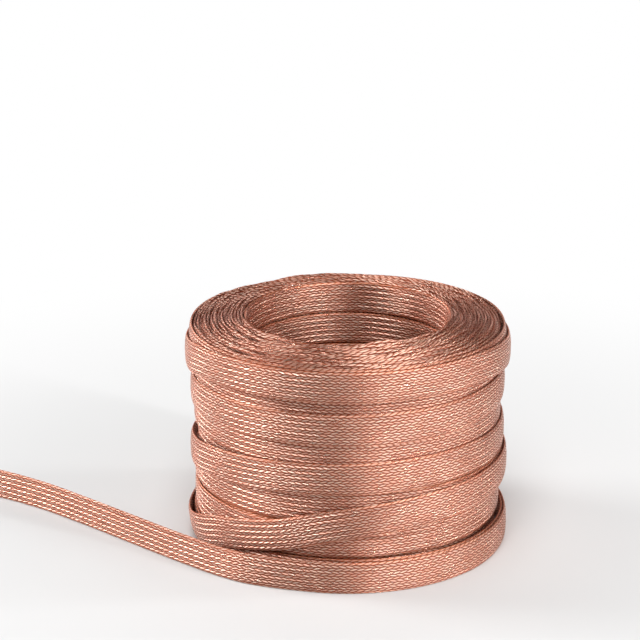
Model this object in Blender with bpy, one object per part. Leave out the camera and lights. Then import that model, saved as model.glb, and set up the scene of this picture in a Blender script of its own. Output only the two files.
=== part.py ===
"""Roll of flat copper braid that stands on its end, with the outer end of the braid lying free beside it.

Metres, +Z up. The roll stands on the ground plane, and angles are measured round its axis from the front,
which faces -Y, growing towards +X.
"""

import math

import bmesh
import bpy
import numpy as np

MM = 0.001

# Driving dimensions of the braid and of the roll
BRAID_WIDTH = 15.0 * MM
BRAID_THICKNESS = 1.5 * MM
LAYER_PITCH = 1.56 * MM
INNER_LAYERS = 16
BORE_RADIUS = 47.0 * MM
OUTER_LAYER_HEIGHT = 105.0 * MM
RIM_RISE = 1.0 * MM
CROWN_RISE = 4.0 * MM
CROWN_SHAPE = 0.7

# Where the outermost turn starts and where the last one tucks under the next layer, in degrees along the braid
EXIT_ANGLE = -10.0
TUCK_ANGLE = 1640.0
TURNS = 5

# The outermost layer, followed up from the ground: degrees along the braid, the place of its lower edge
# between the bottom turn (0) and the top turn (1), and how far its face stands off the layer below, in mm
OUTER_LAYER = (
    (-10, 0.000, 3.9),
    (90, 0.000, 3.8),
    (200, 0.000, 3.4),
    (262, 0.000, 3.3),
    (275, 0.004, 3.6),
    (285, 0.018, 3.8),
    (298, 0.065, 3.3),
    (307, 0.106, 2.6),
    (320, 0.146, 2.2),
    (334, 0.189, 2.1),
    (353, 0.261, 2.1),
    (362, 0.284, 2.3),
    (373, 0.305, 2.6),
    (396, 0.334, 3.4),
    (430, 0.348, 3.5),
    (540, 0.360, 3.0),
    (600, 0.380, 2.4),
    (645, 0.428, 1.7),
    (667, 0.472, 1.6),
    (706, 0.510, 1.6),
    (765, 0.525, 1.7),
    (790, 0.518, 1.7),
    (900, 0.550, 1.6),
    (960, 0.680, 1.6),
    (1005, 0.753, 1.3),
    (1053, 0.769, 1.3),
    (1112, 0.773, 1.3),
    (1148, 0.786, 1.5),
    (1260, 0.800, 1.6),
    (1320, 0.900, 2.5),
    (1365, 0.956, 3.7),
    (1380, 0.986, 3.8),
    (1405, 1.000, 3.8),
    (1487, 1.000, 3.9),
    (1513, 0.975, 4.1),
    (1530, 0.950, 4.2),
    (1640, 0.960, 3.0),
)

# The free end on the ground, in mm from where it leaves the roll: along the braid's way out, and outwards
FREE_END_ROUTE = (
    (0.0, 0.0),
    (13.3, -0.5),
    (25.4, -1.9),
    (35.9, -4.2),
    (47.6, -9.0),
    (67.7, -20.1),
    (95.3, -36.9),
    (123.9, -54.5),
    (153.3, -71.0),
    (174.0, -79.6),
    (192.0, -84.6),
)

# Fineness of the surfaces, and the clearances
STATION_STEP = 5.0
END_FACE_SPAN = 0.5
FREE_END_STEP = 6.0 * MM
TOUCHING_GAP = 0.3 * MM
EDGE_GAP = 0.3 * MM
FOOT_INSET = 0.2 * MM

WALL_RADIUS = BORE_RADIUS + INNER_LAYERS * LAYER_PITCH
RIM_HEIGHT = OUTER_LAYER_HEIGHT + RIM_RISE
EXIT_STAND_OFF = OUTER_LAYER[0][2] * MM
OUTER_RADIUS = WALL_RADIUS + EXIT_STAND_OFF
POINTS_PER_TURN = 4

COPPER = (0.76, 0.41, 0.30, 1.0)


def clear_scene():
    for old in list(bpy.data.objects):
        bpy.data.objects.remove(old, do_unlink=True)


def copper(name, roughness):
    """Bare bright copper."""
    material = bpy.data.materials.new(name)
    material.use_nodes = True
    shader = material.node_tree.nodes["Principled BSDF"]
    shader.inputs["Base Color"].default_value = COPPER
    shader.inputs["Metallic"].default_value = 1.0
    shader.inputs["Roughness"].default_value = roughness
    material.diffuse_color = COPPER
    return material


def outward(angle):
    """Unit vector from the roll's axis at that angle, in plan."""
    return np.array([math.sin(math.radians(angle)), -math.cos(math.radians(angle))])


def smooth_between(knots, values, at):
    """Cubic through the values that never swings past them, as its slopes are zero at each peak and dip."""
    secants = np.diff(values) / np.diff(knots)
    slopes = np.zeros(len(knots))
    rising = secants[:-1] * secants[1:] > 0
    product = 2 * secants[:-1] * secants[1:]
    slopes[1:-1][rising] = product[rising] / (secants[:-1] + secants[1:])[rising]
    i = np.clip(np.searchsorted(knots, at, side="right") - 1, 0, len(knots) - 2)
    span = knots[i + 1] - knots[i]
    u = np.clip((at - knots[i]) / span, 0, 1)
    bend = u * u * (3 - 2 * u)
    start, end = u * (1 - u) ** 2, u * u * (u - 1)
    return values[i] + (values[i + 1] - values[i]) * bend + span * (start * slopes[i] + end * slopes[i + 1])


def outer_turns(angle):
    """(lower edge, upper edge, face radius) of each turn of the outermost layer at that angle, from the ground up.

    Where a turn lies over the edge of the one above it, only what it leaves bare of that one counts.
    A turn that has tucked under is None.
    """
    degrees, places, stand_offs = np.array(OUTER_LAYER).T
    along = angle + 360.0 * np.arange(TURNS)
    lower = smooth_between(degrees, places, along) * (OUTER_LAYER_HEIGHT - BRAID_WIDTH)
    faces = WALL_RADIUS + smooth_between(degrees, stand_offs, along) * MM
    turns = []
    covered = 0.0
    for degrees_along, low, face in zip(along, lower, faces):
        high = low + BRAID_WIDTH
        turns.append((max(low, covered), high, face) if degrees_along <= TUCK_ANGLE else None)
        covered = high + EDGE_GAP
    return turns


def section(angle):
    """(radius, height) points of the roll's cut at that angle: up the outer face, in over the top, down the bore."""
    points = [(WALL_RADIUS - FOOT_INSET, 0.0)]
    for turn in outer_turns(angle):
        if turn is None:
            below = points[-1][1]
            steps = np.linspace(below, RIM_HEIGHT, POINTS_PER_TURN + 2)[1:-1]
            points += [(WALL_RADIUS, height) for height in steps]
        else:
            low, high, face = turn
            points += [(WALL_RADIUS, low), (face, low), (face, high), (WALL_RADIUS, high)]
    for layer in range(INNER_LAYERS):
        top = RIM_HEIGHT + CROWN_RISE * (layer / (INNER_LAYERS - 1)) ** CROWN_SHAPE
        outside = WALL_RADIUS - layer * LAYER_PITCH
        points += [(outside, top), (outside - LAYER_PITCH, top)]
    points.append((BORE_RADIUS, 0.0))
    return points


def station_angles():
    """Angles of the cuts, with a close pair where the last turn tucks under and one across the seam."""
    last = EXIT_ANGLE + 360.0 - END_FACE_SPAN
    even = np.linspace(EXIT_ANGLE, last, round(360.0 / STATION_STEP))
    tuck = TUCK_ANGLE % 360.0
    kept = even[np.abs(even - tuck) > STATION_STEP / 3]
    return np.sort(np.concatenate([kept, [tuck, tuck + END_FACE_SPAN]]))


def make_wound_roll(collection, axis_x):
    """The roll: a loft round the axis between unlike cuts, because the outer turns climb as they go round.

    Past a full circle each turn has become the one above it, so across the seam the cuts join one turn up,
    which leaves the bottom turn's square end at the exit.
    """
    bm = bmesh.new()
    rows = []
    for angle in station_angles():
        way = outward(angle)
        rows.append([bm.verts.new((axis_x + r * way[0], r * way[1], z)) for r, z in section(angle)])

    count = len(rows[0])
    for row, following in zip(rows[:-1], rows[1:]):
        for i in range(count):
            j = (i + 1) % count
            bm.faces.new((row[i], following[i], following[j], row[j]))

    before, after = rows[-1], rows[0]
    rim = 1 + TURNS * POINTS_PER_TURN
    climbing = rim - POINTS_PER_TURN
    for i in range(1, climbing - 1):
        up = i + POINTS_PER_TURN
        bm.faces.new((before[i], after[up], after[up + 1], before[i + 1]))
    for i in range(rim, count):
        j = (i + 1) % count
        bm.faces.new((before[i], after[i], after[j], before[j]))

    bm.faces.new((after[1], after[2], after[3], after[4]))
    bm.faces.new((before[0], after[0], after[1]))
    bm.faces.new((before[0], after[1], before[1]))
    bm.faces.new((before[1], after[1], after[4]))
    bm.faces.new((before[1], after[4], after[5]))
    for i in range(climbing - 1, rim):
        bm.faces.new((after[rim - 1], before[i], before[i + 1]))
    bm.faces.new((after[rim - 1], before[rim], after[rim]))

    bmesh.ops.recalc_face_normals(bm, faces=bm.faces)
    mesh = bpy.data.meshes.new("wound_roll")
    bm.to_mesh(mesh)
    bm.free()
    mesh.materials.append(copper("wound_roll_copper", 0.35))
    roll = bpy.data.objects.new("wound_roll", mesh)
    collection.objects.link(roll)
    return roll


def free_end_points():
    """Points along the middle of the free end, in plan from the roll's axis, at even steps of a smooth curve."""
    along, out = np.array(FREE_END_ROUTE).T * MM
    away = outward(EXIT_ANGLE)
    way = np.array([away[1], -away[0]])
    start = away * (OUTER_RADIUS - BRAID_THICKNESS / 2) + way * TOUCHING_GAP
    knots = start + along[:, None] * way + out[:, None] * away

    reach = np.concatenate([[0.0], np.cumsum(np.linalg.norm(np.diff(knots, axis=0), axis=1))])
    slopes = np.gradient(knots, reach, axis=0)
    slopes[0] = way
    steps = round(reach[-1] / FREE_END_STEP)
    at = np.linspace(0.0, reach[-1], steps + 1)
    i = np.clip(np.searchsorted(reach, at, side="right") - 1, 0, len(reach) - 2)
    span = (reach[i + 1] - reach[i])[:, None]
    u = (at - reach[i])[:, None] / span
    bend = u * u * (3 - 2 * u)
    start_pull, end_pull = u * (1 - u) ** 2, u * u * (u - 1)
    return knots[i] + (knots[i + 1] - knots[i]) * bend + span * (start_pull * slopes[i] + end_pull * slopes[i + 1])


def make_free_end(collection, points, axis_x):
    """The free end, a flat strip that stands on its edge: a curve whose section is as wide as the braid."""
    curve = bpy.data.curves.new("free_end", "CURVE")
    curve.dimensions = "3D"
    curve.twist_mode = "Z_UP"
    curve.fill_mode = "FULL"
    curve.extrude = (BRAID_WIDTH - BRAID_THICKNESS) / 2
    curve.bevel_depth = BRAID_THICKNESS / 2
    curve.bevel_resolution = 2
    curve.use_fill_caps = True
    spline = curve.splines.new("POLY")
    spline.points.add(len(points) - 1)
    for spot, (x, y) in zip(spline.points, points):
        spot.co = (x, y, 0.0, 1.0)
    curve.materials.append(copper("free_end_copper", 0.33))
    strip = bpy.data.objects.new("free_end", curve)
    strip.location = (axis_x, 0.0, BRAID_WIDTH / 2)
    collection.objects.link(strip)
    return strip


def main():
    clear_scene()
    collection = bpy.data.collections.new("flat_braid_roll")
    bpy.context.scene.collection.children.link(collection)
    points = free_end_points()
    # The origin is under the middle of the whole, so the roll's axis stands to the right of it
    axis_x = (-points[:, 0].min() - OUTER_RADIUS) / 2
    make_wound_roll(collection, axis_x)
    make_free_end(collection, points, axis_x)


main()
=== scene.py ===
# %% [markdown]
# # A roll of flat copper braid with its free end
#
# Flexible busbars and earthing straps are cut from flat copper braid, which is sold as a coreless roll. The
# roll stands on its end, and the outer end of the braid has come off it and stands on its edge on the
# table. There is only one real piece here: some 35 m of braid. What makes it look real is how that braid
# runs, so the lesson has two halves. First come the lines that the braid follows. Then one woven surface is
# carried along them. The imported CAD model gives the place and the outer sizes, and everything here is built
# around it, in metres.

# %% The frame and the tools
import math

import bpy
import numpy as np
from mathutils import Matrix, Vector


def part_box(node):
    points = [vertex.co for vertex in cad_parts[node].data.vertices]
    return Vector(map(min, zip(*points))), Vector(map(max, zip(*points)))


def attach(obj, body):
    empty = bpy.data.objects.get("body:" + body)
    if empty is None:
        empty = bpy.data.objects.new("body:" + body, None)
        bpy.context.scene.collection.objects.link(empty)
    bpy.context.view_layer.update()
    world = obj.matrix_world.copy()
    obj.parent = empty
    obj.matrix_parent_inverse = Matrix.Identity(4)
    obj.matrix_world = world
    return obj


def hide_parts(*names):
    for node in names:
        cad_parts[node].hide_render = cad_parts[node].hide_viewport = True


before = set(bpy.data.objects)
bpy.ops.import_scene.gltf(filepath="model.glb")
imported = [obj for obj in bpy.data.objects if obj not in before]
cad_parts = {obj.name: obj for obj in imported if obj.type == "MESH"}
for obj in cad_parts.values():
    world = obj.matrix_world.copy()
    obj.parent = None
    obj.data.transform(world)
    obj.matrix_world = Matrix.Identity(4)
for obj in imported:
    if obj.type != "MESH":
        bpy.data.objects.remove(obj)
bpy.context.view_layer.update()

# %% [markdown]
# ## Sizes
#
# The driving sizes are those of the CAD model, so the surface lies where its solids are. The axis of the
# roll isn't at the origin, because the origin is under the middle of the roll and its free end together.
# The roll reaches furthest to the right at the turn that stands out most, which gives the axis from the
# packed box.

# %% Sizes of the braid and the roll
MM = 0.001
BRAID_WIDTH = 15.0 * MM
BRAID_THICKNESS = 1.5 * MM
LAYER_PITCH = 1.56 * MM
INNER_LAYERS = 16
BORE_RADIUS = 47.0 * MM
OUTER_LAYER_HEIGHT = 105.0 * MM
RIM_RISE = 1.0 * MM
CROWN_RISE = 4.0 * MM
CROWN_SHAPE = 0.7
EXIT_ANGLE = -10.0
EXIT_STAND_OFF = 3.9 * MM

RIM_HEIGHT = OUTER_LAYER_HEIGHT + RIM_RISE
WALL_RADIUS = BORE_RADIUS + INNER_LAYERS * LAYER_PITCH
OUTER_RADIUS = WALL_RADIUS + EXIT_STAND_OFF
axis_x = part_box("wound_roll")[1].x - OUTER_RADIUS
print(f"axis of the roll at x = {axis_x / MM:.1f} mm, outer diameter {2 * OUTER_RADIUS / MM:.1f} mm")

# %% [markdown]
# ## The camera
#
# The photograph is taken from a little above with a long lens. The place, tilt and lens below were worked
# out from the roll's outline: the ellipse of its foot gives the height, and the narrowing of its sides
# gives the distance.

# %% The camera
CAMERA_DISTANCE = 1013 * MM
CAMERA_HEIGHT = 435 * MM
CAMERA_PITCH = 18.06
CAMERA_YAW = 0.724
SENSOR_WIDTH = 36.0
LENS = 128.9


def make_camera():
    """A camera in front of the roll's axis, pitched down and turned a little to the left of it."""
    data = bpy.data.cameras.new("camera")
    data.sensor_width = SENSOR_WIDTH
    data.lens = LENS
    camera = bpy.data.objects.new("camera", data)
    camera.location = (axis_x, -CAMERA_DISTANCE, CAMERA_HEIGHT)
    camera.rotation_euler = (math.radians(90 - CAMERA_PITCH), 0, math.radians(CAMERA_YAW))
    bpy.context.scene.collection.objects.link(camera)
    bpy.context.scene.camera = camera
    return camera


camera = make_camera()
print("camera at", [round(value, 3) for value in camera.location])

# %% [markdown]
# ## How the weave is made
#
# A flat braid is a tube of 48 bundles of fine wire, pressed flat. Half the bundles wind one way and half
# the other, each over two and under two. On the surface this makes narrow lanes along the braid. In every
# lane the bundles that show lean the same way, and in the next lane they lean the other way and sit half a
# step further on. Twelve lanes cover each face, so 24 go round the tube.
#
# A bump map could draw that, but the bundles are big enough to see from the side, so they are made in the
# mesh. The trick is a sheared grid: in each lane the rows of the grid run along the bundles, so that a row
# is always on the back of a bundle or in the furrow between two, and a few points per bundle are enough. A
# bundle lies nearly flat where it shows and dives steeply at the lane's borders, so most columns of the
# grid stand near the borders.

# %% The section of the braid
LANES = 24
LANE_WIDTH = 2 * BRAID_WIDTH / LANES
FACE_SQUARENESS = 5.0
OUTLINE_SAMPLES = 4001
NEARBY = 0.1


def section_outline():
    """The pressed tube as a superellipse, |2y/width|^n + |2z/thickness|^2 = 1, measured by its own length.

    It starts at the lower edge, passes over the outer face to the upper edge, and comes back behind.
    """
    turn = np.linspace(0.0, 2 * np.pi, OUTLINE_SAMPLES)
    cosine = np.cos(turn)
    across = -BRAID_WIDTH / 2 * np.sign(cosine) * np.abs(cosine) ** (2 / FACE_SQUARENESS)
    out = BRAID_THICKNESS / 2 * np.sin(turn)
    length = np.concatenate([[0.0], np.cumsum(np.hypot(np.diff(across), np.diff(out)))])
    return length / length[-1] * LANES, across, out


OUTLINE_LANES, OUTLINE_ACROSS, OUTLINE_OUT = section_outline()


def section_at(lanes):
    """Place of each lane in the section, and the direction that faces away from the tube there.

    That direction is the outline's own, from a point just behind to one just ahead, turned by a right angle.
    """
    around = lanes % LANES
    ahead = (around + NEARBY) % LANES
    behind = (around - NEARBY) % LANES
    across = np.interp(around, OUTLINE_LANES, OUTLINE_ACROSS)
    out = np.interp(around, OUTLINE_LANES, OUTLINE_OUT)
    run = np.interp(ahead, OUTLINE_LANES, OUTLINE_ACROSS) - np.interp(behind, OUTLINE_LANES, OUTLINE_ACROSS)
    rise = np.interp(ahead, OUTLINE_LANES, OUTLINE_OUT) - np.interp(behind, OUTLINE_LANES, OUTLINE_OUT)
    size = np.hypot(run, rise)
    return across, out, -rise / size, run / size


print(f"one lane is {LANE_WIDTH / MM:.2f} mm of the braid's face")

# %% The relief of the weave
WEAVE_PITCH = 3.25 * MM
RELIEF = 0.21 * MM
FLATNESS = 8
FURROW = 0.30
UNEVEN = 0.10
PLACE_TURN = 12.9
LANE_TURN = 7.8
FINE_CUTS = (0.0, 0.1, 0.2, 0.8, 0.9)
PLAIN_CUTS = (0.0, 0.12, 0.88)


def lane_columns(first, last, cuts):
    """The grid's columns from one lane border to another: equal cuts in every lane, and the last border."""
    return np.append(np.add.outer(np.arange(first, last), cuts).ravel(), last)


def zigzag(lanes):
    """Goes from 1 at an even border between lanes to -1 at an odd one and back, in straight lines."""
    return 2 * np.abs(lanes % 2 - 1) - 1


def weave_height(stations, lanes):
    """Height of the bundles, from 0 where they dive to 1 on their backs.

    Along a bundle it is 1 - |x|^8, with x from -1 to 1 between the lane's two borders: flat with steep ends.
    From bundle to bundle it is a half round. Each bundle's own height follows a sine of its number.
    """
    lane = np.floor(lanes)
    lift = 1 - (2 * (lanes - lane) - 1) ** FLATNESS
    place = stations[:, None] / WEAVE_PITCH + 0.5 * (lane % 2)
    back = np.sqrt(np.clip(1 - (2 * (place % 1) - 1) ** 2, 0, 1))
    own = 1 - UNEVEN + UNEVEN * np.sin(PLACE_TURN * np.floor(place) + LANE_TURN * lane)
    return lift * (FURROW + (1 - FURROW) * back) * own


print(f"a bundle shows for {WEAVE_PITCH / MM} mm and stands {RELIEF / MM} mm proud of the crossings")

# %% [markdown]
# ## The lines that the braid follows
#
# A line holds, at each point, how far along it is, where it is, which way the braid's width points and
# which way its face points. In plan, angles are measured round the roll's axis from the front, growing to
# the right.

# %% Lines
UP = np.array([0.0, 0.0, 1.0])


def unit(vectors):
    """Vectors of length one."""
    return vectors / np.linalg.norm(vectors, axis=-1, keepdims=True)


def outward(degrees):
    """Unit vectors from the roll's axis at those angles: sine to the right, minus cosine to the back."""
    angle = np.radians(degrees)
    return np.stack([np.sin(angle), -np.cos(angle), np.zeros_like(angle)], axis=-1)


def roll_points(degrees, radius, height):
    """Points so far out from the roll's axis at those angles, and so high."""
    return np.array([axis_x, 0, 0]) + outward(degrees) * radius[:, None] + UP * height[:, None]


def make_line(points, lean=0.0, start=0.0):
    """The braid's directions along a line of points.

    Its face is square to the line in plan, and its width is square to both. A lean is how much further out
    the upper edge stands than the lower one. The angle whose tangent is lean over width turns both.
    """
    steps = np.linalg.norm(np.diff(points, axis=0), axis=1)
    along = np.concatenate([[0.0], np.cumsum(steps)]) + start
    forward = unit(np.gradient(points, along, axis=0))
    out = unit(np.cross(forward, UP))
    across = np.cross(out, forward)
    tilt = np.arctan2(lean, BRAID_WIDTH) * np.ones((len(points), 1))
    leaned = across * np.cos(tilt) + out * np.sin(tilt)
    faced = out * np.cos(tilt) - across * np.sin(tilt)
    return along, np.concatenate([points, leaned, faced], axis=1)


def line_at(line, along):
    """Centre, width direction and face direction of a line, at any distances along it."""
    known, values = line
    found = np.stack([np.interp(along, known, column) for column in values.T], axis=-1)
    return found[..., 0:3], found[..., 3:6], found[..., 6:9]


def smooth_between(knots, values, at):
    """Cubic through the values that never swings past them.

    Its slope is zero at each peak and dip, and elsewhere the harmonic mean of the straight slopes beside it.
    """
    secants = np.diff(values) / np.diff(knots)
    slopes = np.zeros(len(knots))
    rising = secants[:-1] * secants[1:] > 0
    product = 2 * secants[:-1] * secants[1:]
    slopes[1:-1][rising] = product[rising] / (secants[:-1] + secants[1:])[rising]
    i = np.clip(np.searchsorted(knots, at, side="right") - 1, 0, len(knots) - 2)
    span = knots[i + 1] - knots[i]
    u = np.clip((at - knots[i]) / span, 0, 1)
    bend = u * u * (3 - 2 * u)
    pulls = u * (1 - u) ** 2 * slopes[i] + u * u * (u - 1) * slopes[i + 1]
    return values[i] + (values[i + 1] - values[i]) * bend + span * pulls


WANDER_LENGTHS = (29.0, 61.0, 107.0)
WANDER_SHIFT = 37


def wander(degrees, shift):
    """A gentle unevenness between -1 and 1: the mean of three sines of unrelated lengths round the roll."""
    place = degrees + WANDER_SHIFT * shift
    waves = [np.sin(2 * np.pi * place / length + shift) for length in WANDER_LENGTHS]
    return sum(waves) / len(WANDER_LENGTHS)


# %% [markdown]
# ### The free end and the outer layer
#
# The end of the braid stands on its edge and leaves the lowest turn straight on. It bends away to the left
# and back and runs out of the picture, where it ends in a plain cut. Its route is the list of points from
# the CAD model, joined by a smooth curve. The outer layer is the same braid further along: it goes round at
# the foot, climbs in short slanting stretches from one level to the next, and at the top slips in under
# itself. In each row of OUTER_LAYER stand the angle along the braid, the place of its lower edge between
# the lowest turn (0) and the highest (1), and in mm how far its face stands off the layer below and how far
# its upper edge leans out.

# %% The line of the free end and of the outer layer
FREE_END_ROUTE = (
    (0.0, 0.0),
    (13.3, -0.5),
    (25.4, -1.9),
    (35.9, -4.2),
    (47.6, -9.0),
    (67.7, -20.1),
    (95.3, -36.9),
    (123.9, -54.5),
    (153.3, -71.0),
    (174.0, -79.6),
    (192.0, -84.6),
)
OUTER_LAYER = (
    (-10, 0.000, 3.9, 0.0),
    (90, 0.000, 3.8, 0.0),
    (200, 0.000, 3.4, 0.0),
    (262, 0.000, 3.2, 0.8),
    (275, 0.004, 2.9, 2.4),
    (285, 0.018, 2.6, 3.0),
    (298, 0.065, 2.6, 1.6),
    (307, 0.106, 2.4, 0.8),
    (320, 0.146, 2.2, 0.3),
    (334, 0.189, 2.1, 0.0),
    (353, 0.261, 2.1, 0.0),
    (362, 0.284, 2.3, 0.0),
    (373, 0.305, 2.6, 0.0),
    (396, 0.334, 3.4, 0.0),
    (430, 0.348, 3.5, 0.0),
    (540, 0.360, 3.0, 0.0),
    (600, 0.380, 2.4, 0.0),
    (645, 0.428, 1.8, 0.0),
    (667, 0.472, 1.7, 0.0),
    (706, 0.510, 1.7, 0.0),
    (765, 0.525, 1.8, 0.0),
    (790, 0.518, 1.8, 0.0),
    (900, 0.550, 1.8, 0.0),
    (960, 0.680, 1.8, 0.0),
    (1005, 0.753, 1.6, 0.0),
    (1053, 0.769, 1.6, 0.0),
    (1112, 0.773, 1.6, 0.0),
    (1148, 0.786, 1.7, 0.0),
    (1260, 0.800, 1.7, 0.0),
    (1290, 0.840, 2.2, 0.4),
    (1320, 0.900, 3.5, 0.4),
    (1365, 0.956, 3.8, 0.0),
    (1380, 0.986, 3.8, 0.8),
    (1405, 1.000, 3.7, 1.4),
    (1487, 1.000, 3.7, 1.4),
    (1513, 0.975, 4.0, 0.6),
    (1530, 0.950, 4.2, 0.0),
    (1600, 0.955, 3.9, 0.0),
    (1640, 0.965, 3.3, 0.0),
    (1690, 1.004, 2.0, 0.0),
    (1940, 1.006, 1.9, 0.0),
    (1990, 1.004, 0.3, 0.0),
)
LINE_STEP = 0.4 * MM
TURN_STEP = 0.4
EASING_ARC = 30
OUTER_WANDER = 0.12 * MM
OUTER_SHIFT = 1.0


def free_end_points():
    """The free end's centreline from the exit outwards: a cubic through the route's points, at even steps.

    Each stretch blends its two end points by 3u^2 - 2u^3 and adds the slopes there, which are the central
    differences of the points; at the exit the slope is the way that the turn was going.
    """
    along, out = np.array(FREE_END_ROUTE).T * MM
    away = outward(EXIT_ANGLE)
    way = np.array([away[1], -away[0], 0.0])
    start = np.array([axis_x, 0, BRAID_WIDTH / 2]) + away * (OUTER_RADIUS - BRAID_THICKNESS / 2)
    knots = start + along[:, None] * way + out[:, None] * away
    reach = np.concatenate([[0.0], np.cumsum(np.linalg.norm(np.diff(knots, axis=0), axis=1))])
    slopes = np.gradient(knots, reach, axis=0)
    slopes[0] = way
    at = np.linspace(0.0, reach[-1], round(reach[-1] / LINE_STEP) + 1)
    i = np.clip(np.searchsorted(reach, at, side="right") - 1, 0, len(reach) - 2)
    span = (reach[i + 1] - reach[i])[:, None]
    u = (at - reach[i])[:, None] / span
    bend = u * u * (3 - 2 * u)
    pulls = u * (1 - u) ** 2 * slopes[i] + u * u * (u - 1) * slopes[i + 1]
    return knots[i] + (knots[i + 1] - knots[i]) * bend + span * pulls


def outer_layer_points():
    """The outer layer's centreline from the exit up to where it has slipped under itself, and its lean.

    It wanders a little in and out, and this sets in gently past the exit.
    """
    knots, places, stand_offs, leans = np.array(OUTER_LAYER, dtype=float).T
    degrees = np.arange(knots[0], knots[-1], TURN_STEP)
    easing = np.clip((degrees - knots[0]) / EASING_ARC, 0, 1)
    lower_edge = smooth_between(knots, places, degrees) * (OUTER_LAYER_HEIGHT - BRAID_WIDTH)
    stand_off = smooth_between(knots, stand_offs, degrees) * MM
    middle = WALL_RADIUS + stand_off - BRAID_THICKNESS / 2
    radius = middle + OUTER_WANDER * easing * wander(degrees, OUTER_SHIFT)
    height = lower_edge + BRAID_WIDTH / 2
    return degrees, roll_points(degrees, radius, height), smooth_between(knots, leans, degrees) * MM


free_points = free_end_points()
outer_degrees, outer_points, outer_lean = outer_layer_points()
free_length = np.linalg.norm(np.diff(free_points, axis=0), axis=1).sum()
whole_points = np.concatenate([free_points[:0:-1], outer_points])
whole_lean = np.concatenate([np.zeros(len(free_points) - 1), outer_lean])[:, None]
outer_line = make_line(whole_points, whole_lean, start=-free_length)
print(f"free end {free_length / MM:.0f} mm, outer layer {outer_line[0][-1]:.2f} m")


# %% Where a turn of the outer layer starts
def along_outer(degrees):
    """Distance along the braid, from the exit, at an angle of the outer layer."""
    return np.interp(degrees, outer_degrees, outer_line[0][len(free_points) - 1 :])


# %% [markdown]
# ## Copper
#
# Bare copper wire is a metal with no coat: the colour is the metal's own reflection, so it goes on the
# shader's Base Color with Metallic at one. Bundles of fine parallel wires spread a highlight across
# themselves and keep it narrow along themselves. That is what anisotropy does, and the bundles' slant turns
# it one way in one lane and the other way in the next. The wires themselves are finer than the mesh, so
# they are a bump that follows the same lanes as the mesh: the piece's UV map counts bundles along the braid
# and lanes across it. Where a bundle shows, its middle is painted bright. Towards its sides and its ends,
# where it dives under the next one, the copper is rougher, and its colour is painted shade, darker and
# redder, for the shade and the light that bounces there, with a trace of oxide. The two edges of the braid,
# where the wires turn round, are painted redder still, for the red bounced light in the gaps between turns.

# %% Node helpers
def add_node(tree, kind, label, **values):
    """A new node with its plain properties set."""
    made = tree.nodes.new(kind)
    made.label = label
    for name, value in values.items():
        setattr(made, name, value)
    return made


def connect(tree, source, target):
    """Puts a link, or a plain number or colour, into an input."""
    if isinstance(source, (int, float, tuple)):
        target.default_value = source
    else:
        tree.links.new(source, target)


def calculate(tree, operation, first, second=0.0, third=0.0):
    """A Math node's result."""
    made = add_node(tree, "ShaderNodeMath", operation.lower(), operation=operation)
    for value, socket in zip((first, second, third), made.inputs):
        connect(tree, value, socket)
    return made.outputs[0]


def blend_colours(tree, factor, low, high):
    """A colour between two others. The Mix node's colour sockets are inputs 6 and 7 and output 2."""
    made = add_node(tree, "ShaderNodeMix", "blend", data_type="RGBA")
    connect(tree, factor, made.inputs[0])
    connect(tree, low, made.inputs[6])
    connect(tree, high, made.inputs[7])
    return made.outputs[2]


def map_range(tree, label, value, source, target=(0.0, 1.0)):
    """A value carried smoothly from one range to another, and held at the ends."""
    made = add_node(tree, "ShaderNodeMapRange", label, interpolation_type="SMOOTHSTEP")
    connect(tree, value, made.inputs["Value"])
    made.inputs["From Min"].default_value, made.inputs["From Max"].default_value = source
    made.inputs["To Min"].default_value, made.inputs["To Max"].default_value = target
    return made.outputs["Result"]


# %% The braided copper
BRIGHT_COPPER = (1.0, 0.73, 0.59, 1.0)
DULL_COPPER = (0.94, 0.53, 0.40, 1.0)
SHADE_AND_OXIDE_COPPER = (0.36, 0.09, 0.045, 1.0)
BOUNCED_RED_COPPER = (0.72, 0.22, 0.10, 1.0)
WIRES_PER_BUNDLE = 8.0
WIRE_DEPTH = 0.055 * MM
WIRE_BUMP_WIDTH = 0.01
ANISOTROPY = 0.9
QUARTER_TURN = 0.25
BUNDLE_SLANT = 0.058
OWN_TURN = 0.012
BACK_RANGE = (0.28, 0.78)
BACK_ROUGHNESS = 0.29
CROSSING_ROUGHNESS = 0.2
SHEEN_RANGE = 0.16
SHEEN_SCALE = 180.0
EDGE_LANES_REDDENED = 1.1
UV_LIFT = 2.0
UV_NAME = "weave"


def lane_numbers(tree):
    """Where a point is in the weave.

    These are its lane, +1 or -1 for the lane's slant, how far it is from the lane's middle (-1 to 1), its
    place from bundle to bundle, and how many lanes it is from the nearer edge of the braid. The place is the
    distance along in bundles, less half the zigzag of the grid, plus half in every other lane.
    """
    uv = add_node(tree, "ShaderNodeUVMap", "bundles along, lanes across", uv_map=UV_NAME)
    parts = add_node(tree, "ShaderNodeSeparateXYZ", "split")
    tree.links.new(uv.outputs[0], parts.inputs[0])
    lane = calculate(tree, "FLOOR", parts.outputs[1])
    odd = calculate(tree, "MODULO", lane, 2.0)
    slant = calculate(tree, "MULTIPLY_ADD", odd, -2.0, 1.0)
    share = calculate(tree, "FRACT", parts.outputs[1])
    level = calculate(tree, "MULTIPLY_ADD", share, -2.0, 1.0)
    half_zigzag = calculate(tree, "MULTIPLY", calculate(tree, "MULTIPLY", slant, level), -0.5)
    moved = calculate(tree, "ADD", parts.outputs[0], half_zigzag)
    place = calculate(tree, "MULTIPLY_ADD", odd, 0.5, moved)
    across = calculate(tree, "SUBTRACT", parts.outputs[1], UV_LIFT)
    from_edge = calculate(tree, "PINGPONG", across, LANES / 4)
    return lane, slant, level, place, from_edge


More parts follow.
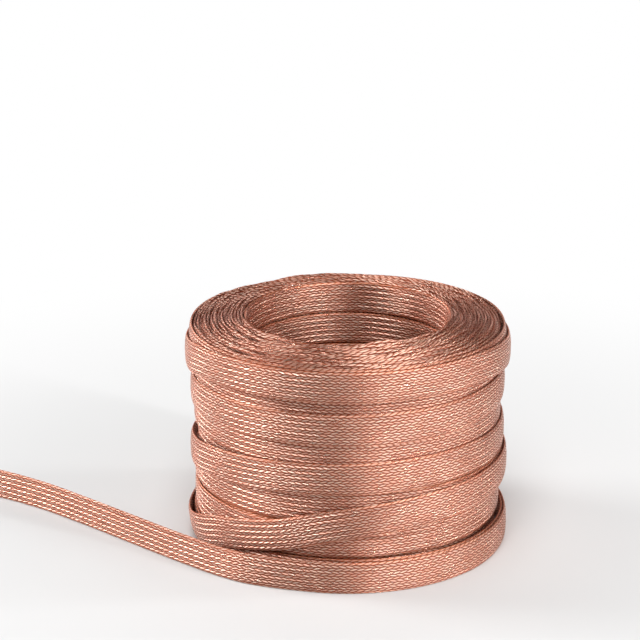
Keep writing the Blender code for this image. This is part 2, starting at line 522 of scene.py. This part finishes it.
def braided_copper(name, edge_bounce_redness):
    """Bare copper wire in bundles: painted bright in each one's middle, painted shade at its sides and ends.

    How far a point is in that middle is (1 - x^2)(1 - y^2), with x along the bundle and y across it, each
    from -1 to 1.
    """
    material = bpy.data.materials.new(name)
    material.use_nodes = True
    tree = material.node_tree
    shader = tree.nodes["Principled BSDF"]
    shader.inputs["Metallic"].default_value = 1.0
    shader.inputs["Anisotropic"].default_value = ANISOTROPY

    lane, slant, level, place, from_edge = lane_numbers(tree)
    number = add_node(tree, "ShaderNodeCombineXYZ", "bundle and lane")
    tree.links.new(calculate(tree, "FLOOR", place), number.inputs[0])
    tree.links.new(lane, number.inputs[1])
    chance = add_node(tree, "ShaderNodeTexWhiteNoise", "one value for each bundle", noise_dimensions="3D")
    tree.links.new(number.outputs[0], chance.inputs["Vector"])
    own_turn = calculate(tree, "MULTIPLY_ADD", chance.outputs["Value"], OWN_TURN, QUARTER_TURN - OWN_TURN / 2)
    turn = calculate(tree, "MULTIPLY_ADD", slant, BUNDLE_SLANT, own_turn)
    tree.links.new(turn, shader.inputs["Anisotropic Rotation"])
    tangent = add_node(tree, "ShaderNodeTangent", "along the braid", direction_type="UV_MAP", uv_map=UV_NAME)
    tree.links.new(tangent.outputs[0], shader.inputs["Tangent"])

    wire = calculate(tree, "FRACT", calculate(tree, "MULTIPLY", place, WIRES_PER_BUNDLE))
    side = calculate(tree, "MULTIPLY_ADD", wire, 2.0, -1.0)
    round_back = calculate(tree, "SUBTRACT", 1.0, calculate(tree, "MULTIPLY", side, side))
    bump = add_node(tree, "ShaderNodeBump", "wires")
    bump.inputs["Strength"].default_value = 1.0
    bump.inputs["Filter Width"].default_value = WIRE_BUMP_WIDTH
    bump.inputs["Distance"].default_value = WIRE_DEPTH
    tree.links.new(round_back, bump.inputs["Height"])
    tree.links.new(bump.outputs[0], shader.inputs["Normal"])

    beside = calculate(tree, "MULTIPLY_ADD", calculate(tree, "FRACT", place), 2.0, -1.0)
    near_ends = calculate(tree, "SUBTRACT", 1.0, calculate(tree, "MULTIPLY", level, level))
    near_sides = calculate(tree, "SUBTRACT", 1.0, calculate(tree, "MULTIPLY", beside, beside))
    lens = calculate(tree, "MULTIPLY", near_ends, near_sides)
    spots = add_node(tree, "ShaderNodeTexNoise", "uneven sheen")
    spots.inputs["Scale"].default_value = SHEEN_SCALE
    place_on_piece = add_node(tree, "ShaderNodeTexCoord", "on the piece")
    tree.links.new(place_on_piece.outputs["Object"], spots.inputs["Vector"])
    back = map_range(tree, "in the middle of a bundle", lens, BACK_RANGE)
    crest = blend_colours(tree, chance.outputs["Value"], DULL_COPPER, BRIGHT_COPPER)
    # Painted shade: the colour darkens and reddens towards each bundle's sides and ends, with a trace of
    # oxide.
    colour = blend_colours(tree, back, SHADE_AND_OXIDE_COPPER, crest)
    # Painted bounced light: the braid's edge lanes are reddened, most on the shaded under layer.
    edge_lanes = (0.0, EDGE_LANES_REDDENED)
    edge = map_range(tree, "near an edge of the braid", from_edge, edge_lanes, (edge_bounce_redness, 0.0))
    colour = blend_colours(tree, edge, colour, BOUNCED_RED_COPPER)
    tree.links.new(colour, shader.inputs["Base Color"])
    roughest = BACK_ROUGHNESS - SHEEN_RANGE / 2 + CROSSING_ROUGHNESS
    sheen = calculate(tree, "MULTIPLY_ADD", spots.outputs[0], SHEEN_RANGE, roughest)
    sheen = calculate(tree, "MULTIPLY_ADD", back, -CROSSING_ROUGHNESS, sheen)
    tree.links.new(sheen, shader.inputs["Roughness"])
    return material


# Each copper gets its own share of painted red bounced light at the braid's edges.
turn_copper = braided_copper("turn_copper", edge_bounce_redness=0.5)
free_copper = braided_copper("free_end_copper", edge_bounce_redness=0.3)
edge_copper = braided_copper("end_face_copper", edge_bounce_redness=0.15)
under_copper = braided_copper("under_layer_copper", edge_bounce_redness=0.8)

print("copper materials made")

# %% [markdown]
# ## Carrying the weave along a line
#
# A piece of braid is a grid: rows are stations along the line, columns are lanes round the tube. At each
# grid point the line is read at the station plus the zigzag of its lane, the section gives the place in the
# tube, and the relief moves the point in or out. The last column joins the first, and each end gets a cap,
# so each piece is a closed body. The same function makes every part of the roll; only the line and the
# choice of lanes change.

# %% The woven surface
def woven_grid(line, stations, lanes, cup=0.0, slim=1.0, first_cut=None):
    """Points of a woven tube: centre + width direction * across + face direction * out, on a sheared grid.

    A cup is how far both edges curl in behind the middle of the face, by the square of the distance from it,
    and slim is the share of the thickness that is left where the braid is squeezed. Near a cut end the zigzag
    fades out over one bundle, so that the end is square.
    """
    sway = WEAVE_PITCH / 2 * np.ones(len(stations))
    if first_cut is not None:
        sway *= np.clip((stations - first_cut) / WEAVE_PITCH, 0, 1)
    distance = stations[:, None] + sway[:, None] * zigzag(lanes)
    centre, width_way, face_way = line_at(line, distance)
    across, out, across_away, out_away = section_at(lanes)
    out = slim * out - cup * (2 * across / BRAID_WIDTH) ** 2
    offset = (weave_height(stations, lanes) - 1) * RELIEF
    points = centre + width_way * (across + offset * across_away)[..., None]
    points = points + face_way * (out + offset * out_away)[..., None]
    return points, distance / WEAVE_PITCH


def closed_faces(rows, columns):
    """Quads of a grid whose last column joins its first, and a cap on each end, all facing outwards."""
    here = np.arange(rows - 1)[:, None] * columns + np.arange(columns)
    right = np.arange(rows - 1)[:, None] * columns + (np.arange(columns) + 1) % columns
    quads = np.stack([here, here + columns, right + columns, right], axis=-1).reshape(-1, 4)
    start = list(range(columns))
    end = list(range(rows * columns - 1, (rows - 1) * columns - 1, -1))
    return quads.tolist() + [start, end]


def add_tube(name, points, bundles, lanes, material):
    """A mesh object from a grid of points, with its UV map and its material."""
    rows, columns = bundles.shape
    mesh = bpy.data.meshes.new(name)
    mesh.from_pydata(points.reshape(-1, 3), [], closed_faces(rows, columns))
    mesh.shade_smooth()
    for cap in mesh.polygons[-2:]:
        cap.use_smooth = False

    u = np.concatenate([bundles, bundles[:, :1]], axis=1)
    v = np.append(lanes, lanes[0] + LANES) + UV_LIFT
    v = np.broadcast_to(v, u.shape)
    corners = np.stack([u, v], axis=-1)
    around = np.stack([corners[:-1, :-1], corners[1:, :-1], corners[1:, 1:], corners[:-1, 1:]], axis=2)
    caps = np.concatenate([corners[0, :-1], corners[-1, :-1][::-1]])
    layer = mesh.uv_layers.new(name=UV_NAME)
    layer.uv.foreach_set("vector", np.concatenate([around.reshape(-1, 2), caps]).astype(np.float32).ravel())

    mesh.materials.append(material)
    piece = bpy.data.objects.new(name, mesh)
    bpy.context.scene.collection.objects.link(piece)
    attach(piece, "root")
    print(f"{name}: {len(mesh.polygons)} faces")
    return piece


def add_braid(name, line, start, end, lanes, per_bundle, material, cup=0.0, slim=1.0, first_cut=None):
    """A stretch of braid between two distances along a line, with so many stations to a bundle."""
    first, last = round(start / WEAVE_PITCH), round(end / WEAVE_PITCH)
    stations = np.linspace(first, last, (last - first) * per_bundle + 1) * WEAVE_PITCH
    points, bundles = woven_grid(line, stations, lanes, cup, slim, first_cut)
    return add_tube(name, points, bundles, lanes, material)


# %% [markdown]
# ## The free end
#
# It is the only loose stretch. Both of its faces show, so all 24 lanes have the full relief.

# %% The free end
ALL_LANES = lane_columns(0, LANES, FINE_CUTS)[:-1]
PER_BUNDLE = 4
TURN_CUP = 0.45 * MM

cut_place = -round(free_length / WEAVE_PITCH) * WEAVE_PITCH
free_end = add_braid(
    "free_braid_end",
    outer_line,
    cut_place,
    0.0,
    ALL_LANES,
    PER_BUNDLE,
    free_copper,
    cup=TURN_CUP,
    first_cut=cut_place,
)
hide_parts("free_end")

# %% [markdown]
# ## The outer layer
#
# The turns of the outer layer show their outer face and both edges, so those lanes have the full relief,
# and a few plain columns close the tube behind. The layer is cut into one piece per turn, at the back,
# which keeps each mesh light. Where two pieces meet they share the same ring of points, and the cut follows
# the furrows of the weave.

# %% The turns of the outer layer
FACE_SPAN = (-1, 13)
BACK_COLUMNS = (15, 17, 19, 21)
FACE_LANES = np.append(lane_columns(*FACE_SPAN, FINE_CUTS), BACK_COLUMNS)
TURN_SPLITS = (-10, 170, 530, 890, 1250, 1610, 1988)
TURN_NAMES = ("lowest_turn", "second_turn", "third_turn", "fourth_turn", "top_turn", "tucked_turn")

for name, start, end in zip(TURN_NAMES, TURN_SPLITS[:-1], TURN_SPLITS[1:]):
    first = 0.0 if start == TURN_SPLITS[0] else along_outer(start)
    last = along_outer(end)
    turn = add_braid(name, outer_line, first, last, FACE_LANES, PER_BUNDLE, turn_copper, cup=TURN_CUP)
    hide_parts("wound_roll")

# %% [markdown]
# ## The layer below
#
# Between the outer turns the next layer shows. Its turns lie at their own levels, and step from one to the
# next at the back. They lie in shadow, so half as many points per bundle do.

# %% The under layer
UNDER_LEVELS = (0.5, 16.0, 32.0, 58.5, 79.9)
UNDER_BULGES = (
    (-150, 1.6),
    (-105, 1.5),
    (-80, 0.2),
    (-60, 0.0),
    (-12, 0.0),
    (15, 1.2),
    (40, 2.1),
    (150, 1.9),
    (185, 1.0),
    (210, 0.0),
    (735, 0.0),
    (765, 1.5),
    (870, 1.3),
    (900, 0.5),
    (930, 0.0),
    (1600, 0.0),
)
LEVEL_ARC = 150.0
UNDER_WANDER = 0.1 * MM
UNDER_SHIFT = 2.3
PLAIN_BACK_COLUMNS = (17, 21)
PLAIN_LANES = np.append(lane_columns(*FACE_SPAN, PLAIN_CUTS), PLAIN_BACK_COLUMNS)


def stepped_levels(levels, arc):
    """Angles and heights of turns that lie level over an arc to each side, and slant up to the next one."""
    turns = np.arange(len(levels)) * 360.0
    angles = np.stack([turns - arc, turns + arc], axis=1).ravel()
    heights = np.repeat(np.array(levels) * MM, 2)
    return angles, heights


def under_layer_line():
    """The second layer: a level circle per turn at the wall's radius, joined by smooth steps.

    It lies further out by UNDER_BULGES (degrees along it, mm) where the outer turn stands off the wall.
    """
    angles, heights = stepped_levels(UNDER_LEVELS, LEVEL_ARC)
    degrees = np.arange(angles[0], angles[-1], TURN_STEP)
    lower_edge = smooth_between(angles, heights, degrees)
    bulge_at, bulge = np.array(UNDER_BULGES).T
    radius = WALL_RADIUS - BRAID_THICKNESS / 2 + UNDER_WANDER * wander(degrees, UNDER_SHIFT)
    radius += smooth_between(bulge_at, bulge, degrees) * MM
    return make_line(roll_points(degrees, radius, lower_edge + BRAID_WIDTH / 2))


under_line = under_layer_line()
under_half = under_line[0][-1] / 2
UNDER_PARTS = (("under_layer_lower", 0, under_half), ("under_layer_upper", under_half, 2 * under_half))
for name, start, end in UNDER_PARTS:
    under = add_braid(name, under_line, start, end, PLAIN_LANES, PER_BUNDLE // 2, under_copper)

# %% [markdown]
# ## The upper end
#
# On the end of the roll every layer shows its edge, so the end is one long spiral of rounded braid edges
# with deep, narrow gaps. Only the lanes round the braid's upper edge are needed. Each layer stands a little
# higher than the one outside it, which crowns the end, and a slow wander in height keeps neighbouring
# ridges from lying level.

# %% The spiral of the upper end
SPIRAL_START = 185.0
SPIRAL_TURNS = 15.1
SPIRAL_SPLIT = 7
SPIRAL_INSET = 0.45 * MM
EDGE_SPAN = (10, 14)
EDGE_LANES = lane_columns(*EDGE_SPAN, FINE_CUTS)[2:-2]
RIDGE_WANDER = 1.3 * MM
RIDGE_SINK = 0.6
RIDGE_SHIFT = 3.1
RIDGE_SLIMNESS = 0.8


def spiral_radius(degrees):
    """Radius of the braid's middle: one layer's pitch further in with each turn."""
    return WALL_RADIUS - SPIRAL_INSET - LAYER_PITCH * (degrees - SPIRAL_START) / 360


def crown_height(degrees):
    """Height of the braid's upper edge: the rim, a power of the share of the layers passed, and a wander.

    The wander is sunk a little, so that the ridges hardly pass the height of the CAD model.
    """
    share = np.clip((degrees - SPIRAL_START) / 360 / (INNER_LAYERS - 1), 0, 1)
    uneven = RIDGE_WANDER * (wander(degrees, RIDGE_SHIFT) - RIDGE_SINK)
    return RIM_HEIGHT + CROWN_RISE * share**CROWN_SHAPE + uneven


def upper_end_line():
    """The spiral that the middle of the braid follows, inwards from the rim."""
    degrees = np.arange(SPIRAL_START, SPIRAL_START + 360 * SPIRAL_TURNS, TURN_STEP)
    height = crown_height(degrees) - BRAID_WIDTH / 2
    return degrees, make_line(roll_points(degrees, spiral_radius(degrees), height))


upper_degrees, upper_line = upper_end_line()
upper_split = np.interp(SPIRAL_START + 360 * SPIRAL_SPLIT, upper_degrees, upper_line[0])
upper_end = upper_line[0][-1]
UPPER_PARTS = (("upper_end_outer", 0, upper_split), ("upper_end_inner", upper_split, upper_end))
for name, start, end in UPPER_PARTS:
    ridges = add_braid(name, upper_line, start, end, EDGE_LANES, PER_BUNDLE, edge_copper, slim=RIDGE_SLIMNESS)

# %% [markdown]
# ## The lower end, the bore and the heart
#
# The lower end is the same spiral turned to the table, with flat lower edges. In the bore the innermost
# layer shows its face, level turns that step at the front, out of sight, and its line runs the other way
# round to make the face point to the axis. Behind all the woven layers lies one solid ring, the heart,
# which closes every gap that the eye could look through. It is a profile turned round the axis, and its UV
# map counts bundles and lanes as well, so the same copper draws the weave on it, flat, where the layers
# above leave a sliver open.

# %% The spiral of the lower end
FOOT_LANES = np.arange(-1.0, 1.01, 0.5)
FOOT_CLEARANCE = 0.3 * MM
FOOT_UNEVEN = 0.8
FOOT_SHIFT = 4.7


def lower_end_line():
    """The spiral at the foot, from the second layer inwards, its edge just clear of the table."""
    degrees = np.arange(SPIRAL_START + 360, SPIRAL_START + 360 * SPIRAL_TURNS, TURN_STEP)
    height = BRAID_WIDTH / 2 + FOOT_CLEARANCE * (1 + FOOT_UNEVEN * wander(degrees, FOOT_SHIFT))
    return make_line(roll_points(degrees, spiral_radius(degrees), height))


lower_line = lower_end_line()
foot = add_braid("lower_end", lower_line, 0, lower_line[0][-1], FOOT_LANES, PER_BUNDLE // 2, edge_copper)

# %% The bore layer
BORE_TURNS = 7
BORE_LOWEST = 0.4
BORE_HIGHEST = 93.4
BORE_SHIFT = 5.9


def bore_line():
    """The innermost layer, followed against the angle so that its face points inwards."""
    angles, heights = stepped_levels(np.linspace(BORE_LOWEST, BORE_HIGHEST, BORE_TURNS), LEVEL_ARC)
    degrees = np.arange(angles[0], angles[-1], TURN_STEP)
    lower_edge = smooth_between(angles, heights, degrees)
    radius = BORE_RADIUS + BRAID_THICKNESS / 2 + UNDER_WANDER * wander(degrees, BORE_SHIFT)
    return make_line(roll_points(180 - degrees, radius, lower_edge + BRAID_WIDTH / 2))


inner_line = bore_line()
bore = add_braid("bore_layer", inner_line, 0, inner_line[0][-1], PLAIN_LANES, PER_BUNDLE // 2, under_copper)

# %% The heart
HEART_COLUMNS = 288
HEART_ROWS = 8
HEART_INSET = 0.15 * MM
HEART_DROP = 3.0 * MM
HEART_FOOT = 1.2 * MM


def heart_profile():
    """(radius, height) of the ring: up its outer wall, in over the crown under the ridges, down the bore."""
    outer = WALL_RADIUS - LAYER_PITCH - HEART_INSET
    inner = BORE_RADIUS + LAYER_PITCH + HEART_INSET
    radius = np.linspace(outer, inner, HEART_ROWS + 1)
    share = (WALL_RADIUS - radius) / (WALL_RADIUS - BORE_RADIUS)
    crown = RIM_HEIGHT + CROWN_RISE * share**CROWN_SHAPE - HEART_DROP
    wall = np.linspace(HEART_FOOT, crown[0], HEART_ROWS + 1)[:-1]
    bore_wall = np.linspace(crown[-1], HEART_FOOT, HEART_ROWS + 1)[1:]
    radii = np.concatenate([np.full(HEART_ROWS, outer), radius, np.full(HEART_ROWS, inner)])
    return radii, np.concatenate([wall, crown, bore_wall])


def add_heart():
    """The profile turned round the axis, as a grid that closes both ways.

    Its UV map counts bundles round the wall, and lanes by the length of the profile.
    """
    radii, heights = heart_profile()
    degrees = np.linspace(0, 360, HEART_COLUMNS, endpoint=False)
    columns = len(radii)
    even = np.ones(HEART_COLUMNS)
    rings = [roll_points(degrees, radius * even, height * even) for radius, height in zip(radii, heights)]
    points = np.stack(rings, axis=1)
    here = np.arange(HEART_COLUMNS)[:, None] * columns + np.arange(columns)
    beside = (np.arange(HEART_COLUMNS)[:, None] + 1) % HEART_COLUMNS * columns + np.arange(columns)
    up = np.roll(here, -1, axis=1)
    beside_up = np.roll(beside, -1, axis=1)
    quads = np.stack([here, beside, beside_up, up], axis=-1).reshape(-1, 4)
    mesh = bpy.data.meshes.new("heart")
    mesh.from_pydata(points.reshape(-1, 3), [], quads.tolist())
    length = np.concatenate([[0.0], np.cumsum(np.hypot(np.diff(radii), np.diff(heights)))])
    u = np.linspace(0, 1, HEART_COLUMNS + 1) * round(2 * np.pi * WALL_RADIUS / WEAVE_PITCH)
    v = np.append(length, length[-1] + radii[0] - radii[-1]) / LANE_WIDTH + UV_LIFT
    grid = np.stack(np.meshgrid(u, v, indexing="ij"), axis=-1)
    around = np.stack([grid[:-1, :-1], grid[1:, :-1], grid[1:, 1:], grid[:-1, 1:]], axis=2)
    mesh.uv_layers.new(name=UV_NAME).uv.foreach_set("vector", around.astype(np.float32).ravel())
    mesh.materials.append(under_copper)
    piece = bpy.data.objects.new("heart", mesh)
    bpy.context.scene.collection.objects.link(piece)
    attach(piece, "root")
    print(f"heart: {len(mesh.polygons)} faces")


add_heart()

# %% [markdown]
# ## The table and the light
#
# A plain pale table runs far enough to fill the picture from every side. It keeps the roll's soft shadow,
# and past that it turns into even white. The light is a photographer's set for bare metal: a long soft lamp
# overhead, low strips on the left and the right, one more behind on the right and a wide one at the back,
# in a dim room. Wires shine where they stand square to the line halfway between the lamp and the eye. So a
# lamp lights the lanes of one slant to the left of its own direction and those of the other slant to the
# right of it, and between such bands the braid stays darker.

# %% The table
TABLE_SIZE = 30.0
TABLE_COLOUR = (0.60, 0.60, 0.60, 1.0)
TABLE_ROUGHNESS = 0.9
SHADOW_REACH = (0.10, 0.42)


def shade_away_to_white(tree, shader):
    """Past the roll's shadow the table is even white, to the camera and in the metal's reflections."""
    place = add_node(tree, "ShaderNodeTexCoord", "on the table")
    from_roll = add_node(tree, "ShaderNodeVectorMath", "from the roll", operation="DISTANCE")
    tree.links.new(place.outputs["Object"], from_roll.inputs[0])
    from_roll.inputs[1].default_value = (axis_x, 0.0, 0.0)
    fade = map_range(tree, "past the shadow", from_roll.outputs["Value"], SHADOW_REACH)
    rays = add_node(tree, "ShaderNodeLightPath", "rays")
    seen = calculate(tree, "MAXIMUM", rays.outputs["Is Camera Ray"], rays.outputs["Is Glossy Ray"])
    seen = calculate(tree, "MAXIMUM", seen, rays.outputs["Is Transmission Ray"])
    white = add_node(tree, "ShaderNodeEmission", "white")
    mix = add_node(tree, "ShaderNodeMixShader", "table")
    tree.links.new(calculate(tree, "MULTIPLY", seen, fade), mix.inputs[0])
    tree.links.new(shader.outputs[0], mix.inputs[1])
    tree.links.new(white.outputs[0], mix.inputs[2])
    tree.links.new(mix.outputs[0], tree.nodes["Material Output"].inputs["Surface"])


def make_table():
    """A flat pale square under the roll."""
    half = TABLE_SIZE / 2
    corners = [(-half, -half, 0), (half, -half, 0), (half, half, 0), (-half, half, 0)]
    mesh = bpy.data.meshes.new("table")
    mesh.from_pydata(corners, [], [(0, 1, 2, 3)])
    material = bpy.data.materials.new("table_white")
    material.use_nodes = True
    shader = material.node_tree.nodes["Principled BSDF"]
    shader.inputs["Base Color"].default_value = TABLE_COLOUR
    shader.inputs["Roughness"].default_value = TABLE_ROUGHNESS
    shader.inputs["Specular IOR Level"].default_value = 0.0
    shade_away_to_white(material.node_tree, shader)
    mesh.materials.append(material)
    table = bpy.data.objects.new("table", mesh)
    bpy.context.scene.collection.objects.link(table)


make_table()

# %% The lamps and the room
ROOM_COLOUR = (1.0, 1.0, 1.0, 1.0)
ROOM_STRENGTH = 0.10
LAMPS = (
    ("overhead_lamp", -6, 66, 1.5, (0.6, 1.4), 21.0),
    ("left_lamp", -105, 16, 1.7, (0.65, 1.2), 30.0),
    ("right_strip", 57, 12, 1.7, (0.10, 1.2), 25.0),
    ("back_right_strip", 93, 12, 1.7, (0.2, 1.2), 14.0),
    ("back_lamp", 178, 22, 1.7, (1.8, 0.7), 12.0),
)


def add_lamp(name, azimuth, elevation, distance, size, power):
    """A soft rectangular lamp so far from the roll, in that direction from it, facing it."""
    data = bpy.data.lights.new(name, "AREA")
    data.shape = "RECTANGLE"
    data.size, data.size_y = size
    data.energy = power
    lamp = bpy.data.objects.new(name, data)
    rise = math.radians(elevation)
    level = outward(np.array(float(azimuth)))
    away = level * math.cos(rise) + UP * math.sin(rise)
    lamp.location = np.array([axis_x, 0, OUTER_LAYER_HEIGHT / 2]) + away * distance
    lamp.rotation_euler = (math.radians(90 - elevation), 0, math.radians(azimuth))
    bpy.context.scene.collection.objects.link(lamp)


for lamp_values in LAMPS:
    add_lamp(*lamp_values)

world = bpy.data.worlds.new("room")
world.use_nodes = True
background = world.node_tree.nodes["Background"]
background.inputs["Color"].default_value = ROOM_COLOUR
background.inputs["Strength"].default_value = ROOM_STRENGTH
bpy.context.scene.world = world
bpy.context.scene.view_settings.view_transform = "Standard"
